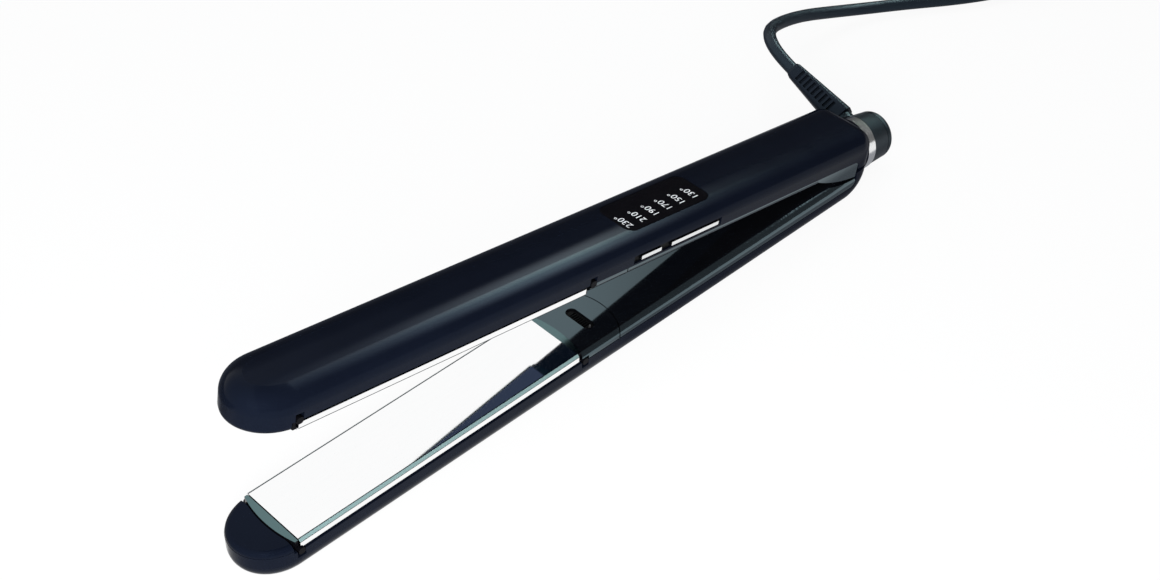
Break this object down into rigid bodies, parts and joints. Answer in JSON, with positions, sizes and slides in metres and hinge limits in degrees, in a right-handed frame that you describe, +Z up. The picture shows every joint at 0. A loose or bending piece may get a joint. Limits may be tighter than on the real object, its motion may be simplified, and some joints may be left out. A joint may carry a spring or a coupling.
{
  "type": "hair straightener",
  "caption": "Flat hair straightener lying open: two long round-edged arms with floating polished plates, a rear hinge, side buttons, display window and swivel cord.",
  "frame": {"origin": "on the lower arm's flat outer face, midway between its tip and its rear wall", "axes": "+X from the tips to the cord, +Z up through the upper arm, buttons on the -Y side"},
  "size_m": [0.4962, 0.13, 0.0734],
  "materials": {
    "shell": "soft-touch moulded housing",
    "gloss": "piano-black moulded cover",
    "plate": "polished coated aluminium",
    "carrier": "heat-resistant moulding",
    "heater": "ceramic strip",
    "silicone": "silicone cushion",
    "metal": "bright plated",
    "steel": "steel",
    "window": "tinted display window",
    "board": "circuit board",
    "switch": "moulded switch body",
    "cap": "satin moulded swivel",
    "rubber": "soft moulded relief",
    "cord": "flexible sheath",
    "tie": "soft strap",
    "grille": "moulded grille"
  },
  "bodies": {
    "upper_arm": {"upper_shell": "shell", "upper_tip_cover": "shell", "upper_outlet_panel": "gloss", "upper_handle_cover": "gloss", "upper_plate_cushions": "silicone", "hinge_pin": "steel", "hinge_spring": "steel", "display_window": "window", "circuit_board": "board", "board_screws": "steel", "push_switches": "switch", "button_bezel": "gloss", "swivel_socket": "cap", "swivel_ring": "metal", "swivel_clip": "steel"},
    "lower_arm": {"lower_shell": "shell", "lower_tip_cover": "shell", "lower_outlet_panel": "gloss", "lower_handle_cover": "gloss", "lower_plate_cushions": "silicone", "outlet_grille": "grille", "ion_emitter": "steel"},
    "upper_plate_unit": {"upper_plate": "plate", "upper_plate_carrier": "carrier", "upper_heater": "heater"},
    "lower_plate_unit": {"lower_plate": "plate", "lower_plate_carrier": "carrier", "lower_heater": "heater"},
    "power_button": {"power_button": "metal"},
    "temperature_rocker": {"temperature_rocker": "metal"},
    "cord_swivel": {"swivel_cap": "cap", "swivel_end_cap": "cap", "strain_relief": "rubber", "cord_free": "cord", "cord_coil": "cord", "cord_tie": "tie", "plug_body": "rubber", "plug_pins": "metal"}
  },
  "joints": [
    {"name": "arm_hinge", "type": "hinge", "parent": "upper_arm", "child": "lower_arm", "pos_m": [0.1326, 0, 0.014], "axis": [0, 1, 0], "range_deg": [0, 9.85], "stiffness_Nm_per_rad": 1, "springref_deg": -34.38},
    {"name": "lower_plate_float", "type": "slide", "parent": "lower_arm", "child": "lower_plate_unit", "axis": [0, 0, -1], "range_m": [0, 0.001], "stiffness_N_per_m": 3000, "springref_m": -0.002, "deforming": ["lower_plate_cushions"]},
    {"name": "upper_plate_float", "type": "slide", "parent": "upper_arm", "child": "upper_plate_unit", "axis": [0.1711, 0, 0.9853], "range_m": [0, 0.001], "stiffness_N_per_m": 3000, "springref_m": -0.002, "deforming": ["upper_plate_cushions"]},
    {"name": "power_press", "type": "slide", "parent": "upper_arm", "child": "power_button", "axis": [0, 1, 0], "range_m": [0, 0.0008], "stiffness_N_per_m": 1500, "springref_m": -0.0006},
    {"name": "temperature_tilt", "type": "hinge", "parent": "upper_arm", "child": "temperature_rocker", "pos_m": [0.04346, -0.00945, 0.03587], "axis": [0.1711, 0, 0.9853], "range_deg": [-2.5, 2.5], "stiffness_Nm_per_rad": 0.12},
    {"name": "cord_turn", "type": "hinge", "parent": "upper_arm", "child": "cord_swivel", "pos_m": [0.13979, 0, 0.01275], "axis": [0.9853, 0, -0.1711], "continuous": true}
  ]
}
